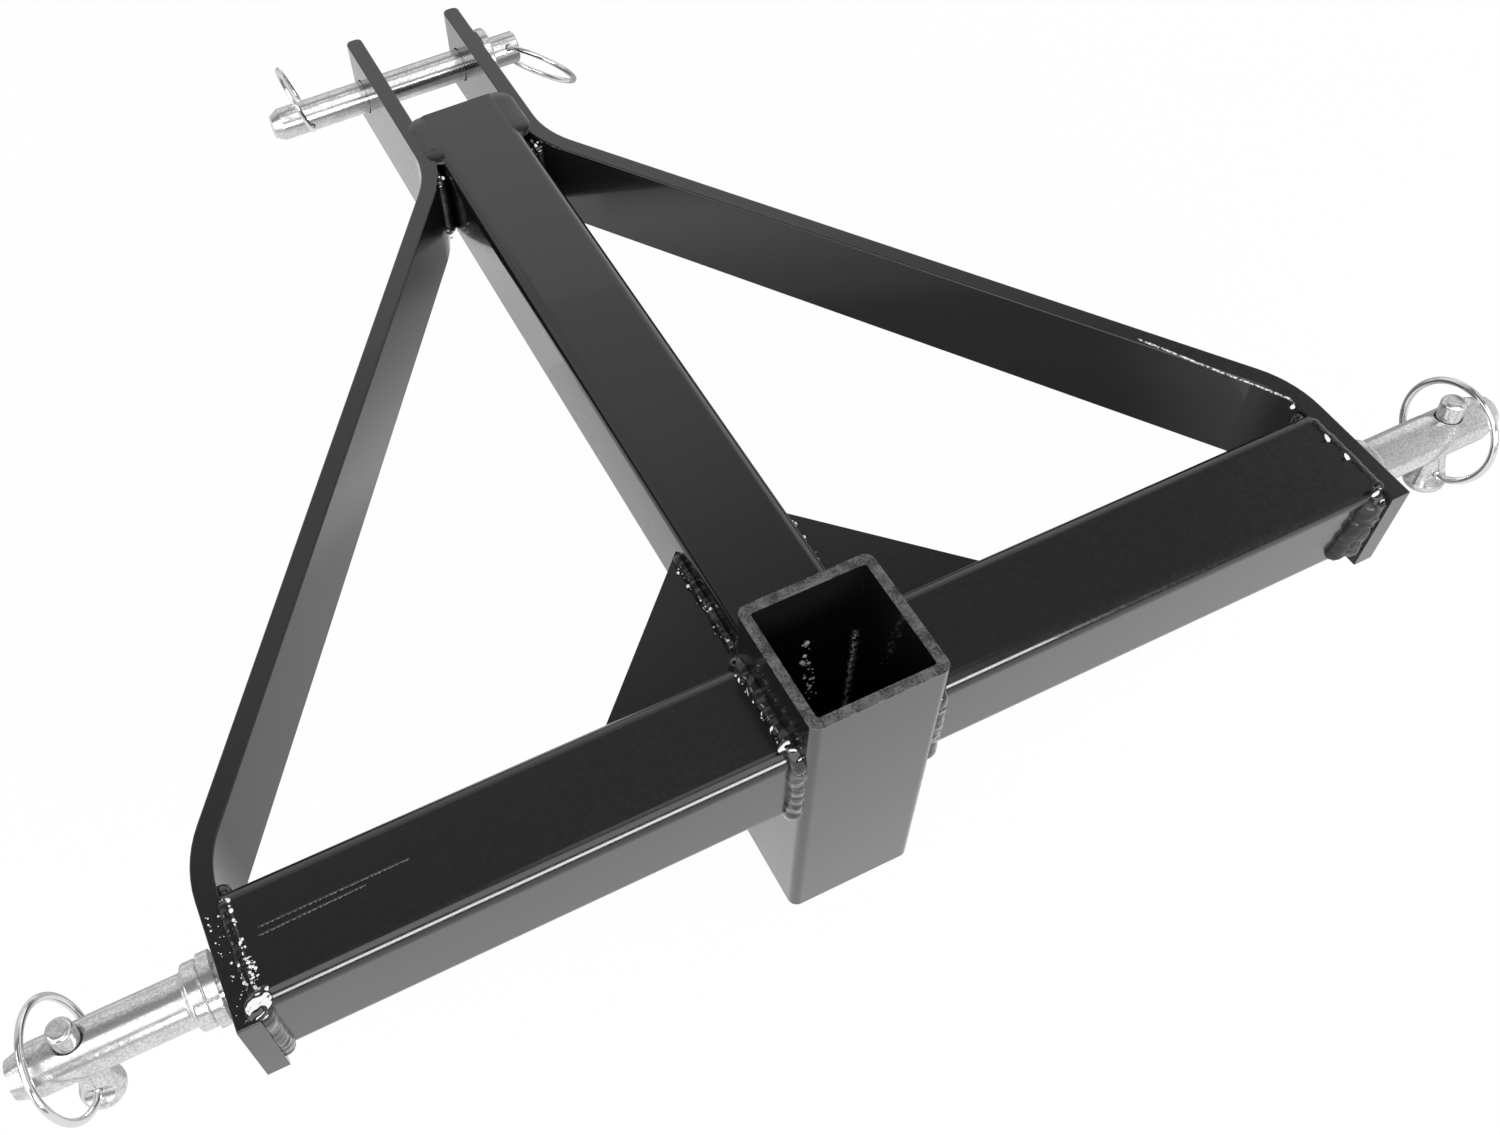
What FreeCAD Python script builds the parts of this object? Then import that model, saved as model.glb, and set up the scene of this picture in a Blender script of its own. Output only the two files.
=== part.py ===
import FreeCAD, Part
import math
import os

from FreeCAD import Vector

# Three point receiver hitch, in millimetres.
# The receiver tube's axis is +Z, its mouth is at the top and its lower end is at z = 0.
# The crossbar runs along X, and the mast runs along +Y to the clevis.

# Receiver tube
receiver_width = 63.5
receiver_wall = 4.75
receiver_corner = 4.5
receiver_inner_corner = 1.5
receiver_length = 170.0
receiver_below_bar = 89.2

# Square tube of the crossbar and the mast
bar_width = 50.8
bar_wall = 4.75
bar_corner = 6.5
bar_inner_corner = 1.75
bar_end_x = 261.5
mast_end_y = 427.0

# Flat bar side straps, bent twice, whose upper ends are the ears of the clevis
strap_thickness = 9.5
strap_width = 50.8
strap_drop = 1.5
strap_edge_round = 0.8
ear_end_round = 3.5
foot_front = 31.0
foot_bend_y = 43.0
foot_bend_radius = 45.0
ear_bend_before_end = 45.0
ear_bend_radius = 55.0
ear_fit_up = 1.45
ear_past_pin = 21.5

# Gusset plates between the crossbar and the mast
gusset_leg = 72.7
gusset_thickness = 6.0
gusset_above_middle = 6.4
gusset_corner_gap = 0.5

# Weld beads
ring_bead_leg = 6.0
ring_bead_edge_gap = 0.35
bead_toe = 0.4
foot_bead_leg = 5.5
clevis_bead_leg = 6.0
clevis_groove_width = 7.0
clevis_wedge_length = 26.0
gusset_bead_leg = 4.0
bead_end_inset = 3.0

# Lower link pins
pin_radius = 11.11
pin_tip_radius = 8.0
pin_tip_chamfer = 9.5
pin_reach = 71.0
pin_seat_length = 36.0
pin_relief = 0.2
collar_radius = 14.0
collar_thickness = 7.5
collar_round = 1.8
collar_root_round = 1.5
stud_radius = 9.4
stud_length = 37.0
stud_chamfer = 1.2
stud_clearance = 0.3
pin_standoff_left = 8.0
pin_standoff_right = 5.0
washer_thickness = 4.8
washer_radius = 15.2
washer_clearance = 0.3
washer_split = 2.0
washer_split_lean = 25.0
washer_split_angle = 200.0
nut_flats = 28.6
nut_height = 16.3
nut_thread_clearance = 0.1
nut_corner_chamfer = 30.0

# Linch pins, each in a cross hole of its lower pin
linch_from_collar = 46.0
linch_lean_left = 8.0
linch_lean_right = 7.0
linch_spin_left = 12.0
linch_spin_right = 0.0
linch_radius = 5.5
linch_clearance = 0.45
linch_countersink = 1.8
linch_tip_rise = 19.5
linch_tip_radius = 3.6
linch_tip_round = 2.4
linch_shoulder_drop = 13.8
linch_hinge_drop = 24.0
linch_head_radius = 9.5
linch_head_waist = 6.9
linch_head_drop = 29.6
linch_head_rim = 1.4
linch_head_height = 34.4
linch_base_radius = 6.2
linch_scallop_radius = 5.4
linch_web = 10.0

# Wire rings of the linch pins
linch_ring_radius = 24.5
linch_ring_wire = 1.65
linch_ring_tilt_left = 17.0
linch_ring_tilt_right = 9.0
linch_ring_shoulder = 8.6

# Top link pin and its two rings
top_pin_past_mast = 69.0
top_pin_radius = 9.525
top_pin_clearance = 0.8
top_pin_tip_x = -95.5
top_pin_tip_radius = 6.5
top_pin_tip_chamfer = 5.2
flange_standoff = 4.0
flange_thickness = 5.8
flange_radius = 16.8
flange_round = 1.2
head_length = 17.6
head_chamfer = 0.8
pull_hole_past_flange = 10.9
pull_hole_lean = 38.0
lock_hole_from_tip = 21.9
lock_hole_lean = -8.0
pull_ring_radius = 25.0
pull_ring_wire = 1.6
pull_ring_droop = 41.0
lock_ring_radius = 19.9
lock_ring_wire = 1.4
lock_ring_tilt = 16.8
top_ring_shoulder_gap = 1.2

# What all four wire rings share
ring_bend_radius = 4.0
linch_eye_clearance = 0.35
cross_hole_clearance = 0.6
ring_end_gap = 1.0

# Places that follow from the sizes above
bar_half = bar_width / 2
receiver_half = receiver_width / 2
bead_leg = min(ring_bead_leg, receiver_half - bar_half - ring_bead_edge_gap)
bar_z = receiver_below_bar + bar_half
bar_top = bar_z + bar_half
bar_bottom = bar_z - bar_half
strap_top = bar_top - strap_drop
strap_bottom = strap_top - strap_width
strap_middle_z = strap_top - strap_width / 2
ear_inner_x = bar_half + ear_fit_up
ear_outer_x = ear_inner_x + strap_thickness
foot_outer_x = bar_end_x + strap_thickness
ear_bend_y = mast_end_y - ear_bend_before_end
top_pin_y = mast_end_y + top_pin_past_mast
ear_end_y = top_pin_y + ear_past_pin
gusset_top = bar_z + gusset_above_middle + gusset_thickness / 2
flange_x = ear_outer_x + flange_standoff
head_x = flange_x + flange_thickness
pull_hole_x = head_x + pull_hole_past_flange
lock_hole_x = top_pin_tip_x + lock_hole_from_tip

x_axis = Vector(1, 0, 0)
y_axis = Vector(0, 1, 0)
z_axis = Vector(0, 0, 1)
origin = Vector(0, 0, 0)


def polygon_face(points):
    return Part.Face(Part.makePolygon(points + points[:1]))


def mirrored(shape):
    return shape.mirror(origin, x_axis)


def turned(edges):
    """A solid turned about the X axis from the outline that the edges make with it."""
    start = edges[0].Vertexes[0].Point
    end = edges[-1].Vertexes[-1].Point
    closing = Part.LineSegment(end, start).toShape()
    face = Part.Face(Part.Wire(edges + [closing]))
    return face.revolve(origin, x_axis, 360)


def profile(points):
    """The straight edges of an outline given as (distance along the axis, radius)."""
    corners = [Vector(along, radius, 0) for along, radius in points]
    return [Part.LineSegment(a, b).toShape() for a, b in zip(corners, corners[1:])]


# Tubes
def rounded_square(width, corner, height):
    """A square outline with rounded corners, centred on the Z axis at the given height."""
    half = width / 2
    flat = half - corner
    diagonal = flat + corner / math.sqrt(2)
    edges = []
    for quarter in range(4):
        turn = FreeCAD.Rotation(z_axis, 90 * quarter)
        start = turn.multVec(Vector(half, -flat, 0))
        end = turn.multVec(Vector(half, flat, 0))
        middle = turn.multVec(Vector(diagonal, diagonal, 0))
        after = turn.multVec(Vector(flat, half, 0))
        edges.append(Part.LineSegment(start, end).toShape())
        edges.append(Part.Arc(end, middle, after).toShape())
    wire = Part.Wire(edges)
    wire.translate(Vector(0, 0, height))
    return wire


def placed(shape, direction, start):
    """Turns a shape from +Z to the direction and moves its origin to the start."""
    shape.Placement = FreeCAD.Placement(start, FreeCAD.Rotation(z_axis, direction))
    return shape


def tube_bar(width, corner, length, direction, start):
    face = Part.Face(rounded_square(width, corner, 0))
    return placed(face.extrude(Vector(0, 0, length)), direction, start)


def square_tube(width, wall, corner, inner_corner, length, direction, start):
    outside = tube_bar(width, corner, length, direction, start)
    inside = tube_bar(width - 2 * wall, inner_corner, length, direction, start)
    return outside.cut(inside)


def receiver():
    return square_tube(receiver_width, receiver_wall, receiver_corner, receiver_inner_corner,
                       receiver_length, z_axis, origin)


def crossbar_right():
    start = Vector(receiver_half, 0, bar_z)
    length = bar_end_x - receiver_half
    return square_tube(bar_width, bar_wall, bar_corner, bar_inner_corner, length, x_axis, start)


def mast():
    start = Vector(0, receiver_half, bar_z)
    length = mast_end_y - receiver_half
    return square_tube(bar_width, bar_wall, bar_corner, bar_inner_corner, length, y_axis, start)


# Side straps
def strap_side(inset):
    """The edges, seen from above, of the right strap's face that lies inset from its outer face."""
    lean = math.atan2(foot_outer_x - ear_outer_x, ear_bend_y - foot_bend_y)
    back = inset * math.tan(lean / 2)
    foot = Vector(foot_outer_x - inset, -foot_front, 0)
    first = Vector(foot_outer_x - inset, foot_bend_y - back, 0)
    second = Vector(ear_outer_x - inset, ear_bend_y - back, 0)
    end = Vector(ear_outer_x - inset, ear_end_y, 0)
    slope = (second - first).normalize()
    first_radius = foot_bend_radius + strap_thickness - inset
    second_radius = ear_bend_radius + inset
    first_run = first_radius * math.tan(lean / 2)
    second_run = second_radius * math.tan(lean / 2)
    a = first - y_axis * first_run
    b = first + slope * first_run
    c = second - slope * second_run
    d = second + y_axis * second_run
    first_centre = a - x_axis * first_radius
    second_centre = d + x_axis * second_radius
    half_turn = Vector(math.cos(lean / 2), math.sin(lean / 2), 0)
    first_middle = first_centre + half_turn * first_radius
    second_middle = second_centre - half_turn * second_radius
    return [
        Part.LineSegment(foot, a).toShape(),
        Part.Arc(a, first_middle, b).toShape(),
        Part.LineSegment(b, c).toShape(),
        Part.Arc(c, second_middle, d).toShape(),
        Part.LineSegment(d, end).toShape(),
    ]


def strap_blank():
    """The bent bar before its edges are eased and its holes are drilled."""
    outer = strap_side(0)
    inner = strap_side(strap_thickness)
    foot_cap = Part.LineSegment(outer[0].Vertexes[0].Point, inner[0].Vertexes[0].Point)
    end_cap = Part.LineSegment(outer[-1].Vertexes[-1].Point, inner[-1].Vertexes[-1].Point)
    edges = Part.sortEdges(outer + inner + [foot_cap.toShape(), end_cap.toShape()])[0]
    face = Part.Face(Part.Wire(edges))
    face.translate(Vector(0, 0, strap_bottom))
    return face.extrude(Vector(0, 0, strap_width))


def is_upright(edge):
    return edge.BoundBox.ZLength > strap_width - 0.01


def side_strap_right():
    bar = strap_blank()
    corners = [edge for edge in bar.Edges if edge.BoundBox.YMin > ear_end_y - 0.01 and is_upright(edge)]
    bar = bar.makeFillet(ear_end_round, corners)
    rims = [edge for edge in bar.Edges if edge.BoundBox.ZLength < 0.01]
    bar = bar.makeFillet(strap_edge_round, rims)
    stud_hole = Part.makeCylinder(stud_radius + stud_clearance, 2 * strap_thickness,
                                  Vector(bar_end_x - strap_thickness / 2, 0, bar_z), x_axis)
    ear_hole = Part.makeCylinder(top_pin_radius + top_pin_clearance, 2 * strap_thickness,
                                 Vector(ear_inner_x - strap_thickness / 2, top_pin_y, strap_middle_z), x_axis)
    return bar.cut(stud_hole).cut(ear_hole)


# Gussets
def gusset_right():
    corner_cut = receiver_half + bead_leg + gusset_corner_gap
    far = bar_half + gusset_leg
    outline = [
        Vector(corner_cut, bar_half, 0),
        Vector(far, bar_half, 0),
        Vector(bar_half, far, 0),
        Vector(bar_half, corner_cut, 0),
    ]
    plate = polygon_face(outline).extrude(Vector(0, 0, -gusset_thickness))
    plate.translate(Vector(0, 0, gusset_top))
    return plate


# Weld beads
def ring_bead(width, corner, direction, start):
    """A bevelled bead round a tube where it butts against the receiver."""
    foot = rounded_square(width + 2 * bead_leg, corner + bead_leg, 0)
    toe = rounded_square(width + 2 * bead_toe, corner + bead_toe, bead_leg)
    collar = Part.makeLoft([foot, toe], True, True)
    skirt = Part.Face(foot).extrude(Vector(0, 0, -receiver_corner))
    return placed(collar.fuse(skirt).removeSplitter(), direction, start)


def weld_receiver_right():
    start = Vector(receiver_half, 0, bar_z)
    bead = ring_bead(bar_width, bar_corner, x_axis, start)
    bead = bead.cut(tube_bar(bar_width, bar_corner, bar_end_x, x_axis, start))
    return bead.cut(tube_bar(receiver_width, receiver_corner, receiver_length, z_axis, origin))


def weld_receiver_mast():
    start = Vector(0, receiver_half, bar_z)
    bead = ring_bead(bar_width, bar_corner, y_axis, start)
    bead = bead.cut(tube_bar(bar_width, bar_corner, mast_end_y, y_axis, start))
    bead = bead.cut(tube_bar(receiver_width, receiver_corner, receiver_length, z_axis, origin))
    side = weld_receiver_right()
    return bead.cut(side).cut(mirrored(side))


def weld_strap_right(strap):
    """Upright beads in the two corners of crossbar and strap, and a bead on the strap's top edge."""
    low = bar_bottom + bar_corner
    height = bar_width - 2 * bar_corner
    beads = []
    for side in (-1, 1):
        outline = [
            Vector(bar_end_x, side * bar_half, low),
            Vector(bar_end_x, side * (bar_half + foot_bead_leg), low),
            Vector(bar_end_x - foot_bead_leg, side * bar_half, low),
        ]
        beads.append(polygon_face(outline).extrude(Vector(0, 0, height)))
    flat = bar_half - bar_corner
    cap = [
        Vector(bar_end_x, -flat, strap_top),
        Vector(bar_end_x, -flat, bar_top),
        Vector(bar_end_x + foot_bead_leg, -flat, strap_top),
    ]
    beads.append(polygon_face(cap).extrude(Vector(0, 2 * flat, 0)))
    return Part.makeCompound([bead.cut(strap) for bead in beads])


def weld_clevis_right(strap):
    """The bead that fills the space between the mast's end and the ear."""
    groove_x = ear_inner_x - clevis_groove_width
    wedge_y = ear_bend_y - back_of_ear_bend() + clevis_wedge_length / 2
    groove = [
        Vector(ear_inner_x, wedge_y, bar_bottom),
        Vector(ear_inner_x, wedge_y, strap_top),
        Vector(groove_x, wedge_y, bar_top),
        Vector(groove_x, wedge_y, bar_bottom),
    ]
    fill = polygon_face(groove).extrude(Vector(0, mast_end_y - wedge_y, 0))
    corner_z = bar_bottom + bead_end_inset
    corner = [
        Vector(ear_inner_x, mast_end_y, corner_z),
        Vector(ear_inner_x, mast_end_y + clevis_bead_leg, corner_z),
        Vector(ear_inner_x - clevis_bead_leg, mast_end_y, corner_z),
    ]
    height = strap_top - bead_end_inset - corner_z
    end_bead = polygon_face(corner).extrude(Vector(0, 0, height))
    wedge = Part.makeBox(strap_thickness, clevis_wedge_length, height,
                         Vector(bar_half, wedge_y - clevis_wedge_length / 2, corner_z))
    wedge = wedge.cut(strap)
    wedge = min(wedge.Solids, key=lambda solid: solid.CenterOfMass.x)
    mast_bar = tube_bar(bar_width, bar_corner, mast_end_y - receiver_half, y_axis,
                        Vector(0, receiver_half, bar_z))
    bead = fill.fuse(wedge).fuse(end_bead).cut(mast_bar).cut(strap)
    return max(bead.Solids, key=lambda solid: solid.Volume)


def back_of_ear_bend():
    """How far the inner face's bend point lies behind the outer one."""
    lean = math.atan2(foot_outer_x - ear_outer_x, ear_bend_y - foot_bend_y)
    return strap_thickness * math.tan(lean / 2)


def weld_gusset_right():
    """Fillets on both faces of the plate, along the mast and along the crossbar."""
    start = receiver_half + bead_leg + bead_end_inset
    run = bar_half + gusset_leg - bead_end_inset - start
    beads = []
    for face_z, rise in ((gusset_top, gusset_bead_leg), (gusset_top - gusset_thickness, -gusset_bead_leg)):
        along_mast = [
            Vector(bar_half, start, face_z),
            Vector(bar_half + gusset_bead_leg, start, face_z),
            Vector(bar_half, start, face_z + rise),
        ]
        along_bar = [
            Vector(start, bar_half, face_z),
            Vector(start, bar_half + gusset_bead_leg, face_z),
            Vector(start, bar_half, face_z + rise),
        ]
        beads.append(polygon_face(along_mast).extrude(Vector(0, run, 0)))
        beads.append(polygon_face(along_bar).extrude(Vector(run, 0, 0)))
    return Part.makeCompound(beads)


# Lower link pins and what is on them, made for the right side
def linch_frame(standoff, lean, spin):
    """The linch pin's own frame: its axis up to the tip is Z, and its ring's hinge is along Y."""
    x = foot_outer_x + standoff + collar_thickness + linch_from_collar
    turn = FreeCAD.Rotation(x_axis, -lean).multiply(FreeCAD.Rotation(z_axis, spin))
    return FreeCAD.Placement(Vector(x, 0, bar_z), turn)


def lower_pin(standoff, lean):
    """A turned pin whose seat for the link ball ends short of the linch pin's hole."""
    collar_x = foot_outer_x + standoff
    face_x = collar_x + collar_thickness
    tip_x = face_x + pin_reach
    seat_end_x = face_x + collar_root_round + pin_seat_length
    stud_x = collar_x - stud_length
    body = turned(profile([
        (stud_x, 0),
        (stud_x, stud_radius - stud_chamfer),
        (stud_x + stud_chamfer, stud_radius),
        (collar_x, stud_radius),
        (collar_x, collar_radius),
        (face_x, collar_radius),
        (face_x, pin_radius),
        (seat_end_x, pin_radius),
        (seat_end_x, pin_radius - pin_relief),
        (tip_x - pin_tip_chamfer, pin_radius - pin_relief),
        (tip_x, pin_tip_radius),
        (tip_x, 0),
    ]))
    rims = []
    roots = []
    for edge in body.Edges:
        box = edge.BoundBox
        flat_circle = box.XLength < 0.01
        if flat_circle and abs(box.YMax - collar_radius) < 0.01:
            rims.append(edge)
        if flat_circle and abs(box.XMin - face_x) < 0.01 and abs(box.YMax - pin_radius) < 0.01:
            roots.append(edge)
    body = body.makeFillet(collar_round, rims)
    body = body.makeFillet(collar_root_round, [matching_edge(body, edge) for edge in roots])
    body.translate(Vector(0, 0, bar_z))
    hole_radius = linch_radius + linch_clearance
    hole = Part.makeCylinder(hole_radius, 4 * pin_radius, Vector(0, 0, -2 * pin_radius), z_axis)
    sink_radius = hole_radius + linch_countersink
    for side in (-1, 1):
        rise = pin_radius - linch_countersink
        sink = Part.makeCone(hole_radius, sink_radius + linch_countersink, 2 * linch_countersink,
                             Vector(0, 0, side * rise), Vector(0, 0, side))
        hole = hole.fuse(sink)
    hole.Placement = linch_frame(standoff, lean, 0)
    return body.cut(hole)


def matching_edge(shape, wanted):
    """The edge of the shape that has the wanted edge's middle and length."""
    def distance(edge):
        shift = (edge.BoundBox.Center - wanted.BoundBox.Center).Length
        return shift + abs(edge.Length - wanted.Length)
    return min(shape.Edges, key=distance)


def lock_washer(standoff, against_collar):
    """A split spring washer, against the collar where the pin stands off the strap."""
    start = foot_outer_x
    if against_collar:
        start = foot_outer_x + standoff - washer_thickness
    centre = Vector(start, 0, bar_z)
    ring = Part.makeCylinder(washer_radius, washer_thickness, centre, x_axis)
    ring = ring.cut(Part.makeCylinder(stud_radius + washer_clearance, washer_thickness, centre, x_axis))
    slot = Part.makeBox(4 * washer_thickness, 2 * washer_radius, washer_split,
                        Vector(-2 * washer_thickness, 0, -washer_split / 2))
    slot.rotate(origin, y_axis, washer_split_lean)
    slot.rotate(origin, x_axis, washer_split_angle)
    slot.translate(Vector(start + washer_thickness / 2, 0, bar_z))
    return ring.cut(slot)


def hex_nut():
    """The nut inside the crossbar's end, with its corners eased at both faces."""
    across_corners = nut_flats / math.cos(math.radians(30))
    corners = []
    for step in range(6):
        angle = math.radians(60 * step)
        corners.append(Vector(0, across_corners / 2 * math.cos(angle), across_corners / 2 * math.sin(angle)))
    blank = polygon_face(corners).extrude(Vector(nut_height, 0, 0))
    ease = (across_corners - nut_flats) / 2 * math.tan(math.radians(nut_corner_chamfer))
    barrel = turned(profile([
        (0, 0),
        (0, nut_flats / 2),
        (ease, across_corners / 2),
        (nut_height - ease, across_corners / 2),
        (nut_height, nut_flats / 2),
        (nut_height, 0),
    ]))
    bore = Part.makeCylinder(stud_radius + nut_thread_clearance, nut_height, origin, x_axis)
    nut = blank.common(barrel).cut(bore)
    nut.translate(Vector(bar_end_x - nut_height, 0, bar_z))
    return nut


# Linch pins
def linch_pin(standoff, lean, spin):
    """A forged pin whose bell head is pinched to a web that the ring's ends go through."""
    tip = Vector(linch_tip_rise, 0, 0)
    tip_edge = Vector(linch_tip_rise, linch_tip_radius, 0)
    tip_middle_z = linch_tip_rise - linch_tip_round * (1 - math.sin(math.radians(45)))
    tip_middle_r = linch_tip_radius + (linch_radius - linch_tip_radius) * math.sin(math.radians(45))
    tip_middle = Vector(tip_middle_z, tip_middle_r, 0)
    shank_top = Vector(linch_tip_rise - linch_tip_round, linch_radius, 0)
    shoulder = Vector(-linch_shoulder_drop, linch_radius, 0)
    waist = Vector(-(linch_shoulder_drop + linch_head_drop) / 2, linch_head_waist, 0)
    rim_top = Vector(-linch_head_drop, linch_head_radius, 0)
    rim_low = Vector(-linch_head_drop - linch_head_rim, linch_head_radius, 0)
    base_edge = Vector(-linch_head_height, linch_base_radius, 0)
    bulge = (rim_low + base_edge) * 0.5 + (Vector(-1, 1, 0) * (linch_head_rim / 2))
    base = Vector(-linch_head_height, 0, 0)
    body = turned([
        Part.LineSegment(tip, tip_edge).toShape(),
        Part.Arc(tip_edge, tip_middle, shank_top).toShape(),
        Part.LineSegment(shank_top, shoulder).toShape(),
        Part.Arc(shoulder, waist, rim_top).toShape(),
        Part.LineSegment(rim_top, rim_low).toShape(),
        Part.Arc(rim_low, bulge, base_edge).toShape(),
        Part.LineSegment(base_edge, base).toShape(),
    ])
    body.rotate(origin, y_axis, -90)
    for side in (-1, 1):
        centre = Vector(-2 * linch_head_radius, side * (linch_web / 2 + linch_scallop_radius), -linch_hinge_drop)
        body = body.cut(Part.makeCylinder(linch_scallop_radius, 4 * linch_head_radius, centre, x_axis))
    hole_radius = linch_ring_wire + linch_eye_clearance
    hole = Part.makeCylinder(hole_radius, 2 * linch_web, Vector(0, -linch_web, -linch_hinge_drop), y_axis)
    body = body.cut(hole)
    body.Placement = linch_frame(standoff, lean, spin)
    return body


# Wire rings
def wire_ring(ring_radius, wire_radius, shoulder):
    """A round ring bent from one wire, whose straight ends lie along Y and whose centre is above them."""
    bend = ring_bend_radius
    inner = ring_end_gap / 2
    centre_z = bend + math.sqrt((ring_radius - bend) ** 2 - shoulder ** 2)
    outward = Vector(0, shoulder, bend - centre_z).normalize()
    touch = Vector(0, 0, centre_z) + outward * ring_radius
    half = Vector(0, -math.sin(math.atan2(outward.y, -outward.z) / 2),
                  math.cos(math.atan2(outward.y, -outward.z) / 2))
    bend_centre = Vector(0, shoulder, bend)
    bend_middle = bend_centre - Vector(0, half.y, half.z) * bend
    top = Vector(0, 0, centre_z + ring_radius)

    def other(point):
        return Vector(0, -point.y, point.z)

    path = Part.Wire([
        Part.LineSegment(Vector(0, inner, 0), Vector(0, shoulder, 0)).toShape(),
        Part.Arc(Vector(0, shoulder, 0), bend_middle, touch).toShape(),
        Part.Arc(touch, top, other(touch)).toShape(),
        Part.Arc(other(touch), other(bend_middle), Vector(0, -shoulder, 0)).toShape(),
        Part.LineSegment(Vector(0, -shoulder, 0), Vector(0, -inner, 0)).toShape(),
    ])
    section = Part.Wire(Part.makeCircle(wire_radius, Vector(0, inner, 0), y_axis))
    return path.makePipeShell([section], True, False)


def linch_ring(standoff, lean, spin, tilt):
    """The ring stands round the lower pin and passes over or outboard of the linch pin's tip."""
    ring = wire_ring(linch_ring_radius, linch_ring_wire, linch_ring_shoulder)
    ring.rotate(origin, y_axis, tilt)
    ring.translate(Vector(0, 0, -linch_hinge_drop))
    ring.Placement = linch_frame(standoff, lean, spin).multiply(ring.Placement)
    return ring


# Top link pin and its rings
def top_link_pin():
    body = turned(profile([
        (top_pin_tip_x, 0),
        (top_pin_tip_x, top_pin_tip_radius),
        (top_pin_tip_x + top_pin_tip_chamfer, top_pin_radius),
        (flange_x, top_pin_radius),
        (flange_x, flange_radius),
        (head_x, flange_radius),
        (head_x, top_pin_radius),
        (head_x + head_length - head_chamfer, top_pin_radius),
        (head_x + head_length, top_pin_radius - head_chamfer),
        (head_x + head_length, 0),
    ]))
    rims = []
    for edge in body.Edges:
        box = edge.BoundBox
        if box.XLength < 0.01 and abs(box.YMax - flange_radius) < 0.01:
            rims.append(edge)
    body = body.makeFillet(flange_round, rims)
    body = body.cut(cross_hole(pull_hole_x, pull_hole_lean, pull_ring_wire))
    body = body.cut(cross_hole(lock_hole_x, lock_hole_lean, lock_ring_wire))
    body.translate(Vector(0, top_pin_y, strap_middle_z))
    return body


def cross_hole(hole_x, lean, wire_radius):
    """A hole across the pin, along Y but for its lean about the pin's own axis."""
    start = Vector(hole_x, -2 * top_pin_radius, 0)
    hole = Part.makeCylinder(wire_radius + cross_hole_clearance, 4 * top_pin_radius, start, y_axis)
    hole.rotate(origin, x_axis, -lean)
    return hole


def top_pin_ring(hole_x, lean, ring_radius, wire_radius, swing):
    """A ring through a cross hole of the top link pin, swung from upright towards +X."""
    ring = wire_ring(ring_radius, wire_radius, top_pin_radius + top_ring_shoulder_gap)
    ring.rotate(origin, y_axis, swing)
    ring.rotate(origin, x_axis, -lean)
    ring.translate(Vector(hole_x, top_pin_y, strap_middle_z))
    return ring


def build():
    strap = side_strap_right()
    bar = crossbar_right()
    gusset = gusset_right()
    receiver_bead = weld_receiver_right()
    strap_bead = weld_strap_right(strap)
    clevis_bead = weld_clevis_right(strap)
    gusset_bead = weld_gusset_right()
    nut = hex_nut()
    nodes = {
        "receiver_tube": receiver(),
        "mast_tube": mast(),
        "weld_receiver_mast": weld_receiver_mast(),
        "top_link_pin": top_link_pin(),
        "top_pin_pull_ring": top_pin_ring(pull_hole_x, pull_hole_lean, pull_ring_radius,
                                          pull_ring_wire, 90 + pull_ring_droop),
        "top_pin_lock_ring": top_pin_ring(lock_hole_x, lock_hole_lean, lock_ring_radius,
                                          lock_ring_wire, -lock_ring_tilt),
    }
    pairs = {
        "crossbar": bar,
        "side_strap": strap,
        "gusset": gusset,
        "weld_receiver": receiver_bead,
        "weld_strap": strap_bead,
        "weld_clevis": clevis_bead,
        "weld_gusset": gusset_bead,
        "hex_nut": nut,
    }
    for name, shape in pairs.items():
        nodes[name + "_right"] = shape
        nodes[name + "_left"] = mirrored(shape)
    nodes["lower_pin_right"] = lower_pin(pin_standoff_right, linch_lean_right)
    nodes["lower_pin_left"] = mirrored(lower_pin(pin_standoff_left, linch_lean_left))
    nodes["lock_washer_right"] = lock_washer(pin_standoff_right, False)
    nodes["lock_washer_left"] = mirrored(lock_washer(pin_standoff_left, True))
    right = (pin_standoff_right, linch_lean_right, linch_spin_right)
    left = (pin_standoff_left, linch_lean_left, linch_spin_left)
    nodes["linch_pin_right"] = linch_pin(*right)
    nodes["linch_pin_left"] = mirrored(linch_pin(*left))
    nodes["linch_ring_right"] = linch_ring(*right, linch_ring_tilt_right)
    nodes["linch_ring_left"] = mirrored(linch_ring(*left, linch_ring_tilt_left))
    return nodes


os.makedirs("parts", exist_ok=True)
for node_name, node_shape in build().items():
    node_shape.exportStep(os.path.join("parts", node_name + ".step"))
    print(node_name, len(node_shape.Solids), "solid(s)", node_shape.isValid(), round(node_shape.Volume))
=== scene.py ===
import bpy, bmesh, math
from mathutils import Vector, Matrix, noise


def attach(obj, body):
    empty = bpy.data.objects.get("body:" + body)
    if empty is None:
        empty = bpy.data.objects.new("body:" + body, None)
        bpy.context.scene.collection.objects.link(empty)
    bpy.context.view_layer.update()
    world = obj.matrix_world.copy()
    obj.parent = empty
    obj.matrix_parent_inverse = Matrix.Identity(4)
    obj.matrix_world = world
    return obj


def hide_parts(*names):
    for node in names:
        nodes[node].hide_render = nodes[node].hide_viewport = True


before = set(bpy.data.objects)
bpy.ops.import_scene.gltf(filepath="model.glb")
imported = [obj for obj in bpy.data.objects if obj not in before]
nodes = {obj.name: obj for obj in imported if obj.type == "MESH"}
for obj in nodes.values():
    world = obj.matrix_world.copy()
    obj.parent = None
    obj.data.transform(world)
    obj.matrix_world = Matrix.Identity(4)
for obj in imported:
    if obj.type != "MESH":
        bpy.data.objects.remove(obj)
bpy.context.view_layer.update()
scene = bpy.context.scene
print("frame loaded:", len(nodes), "nodes")

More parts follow.
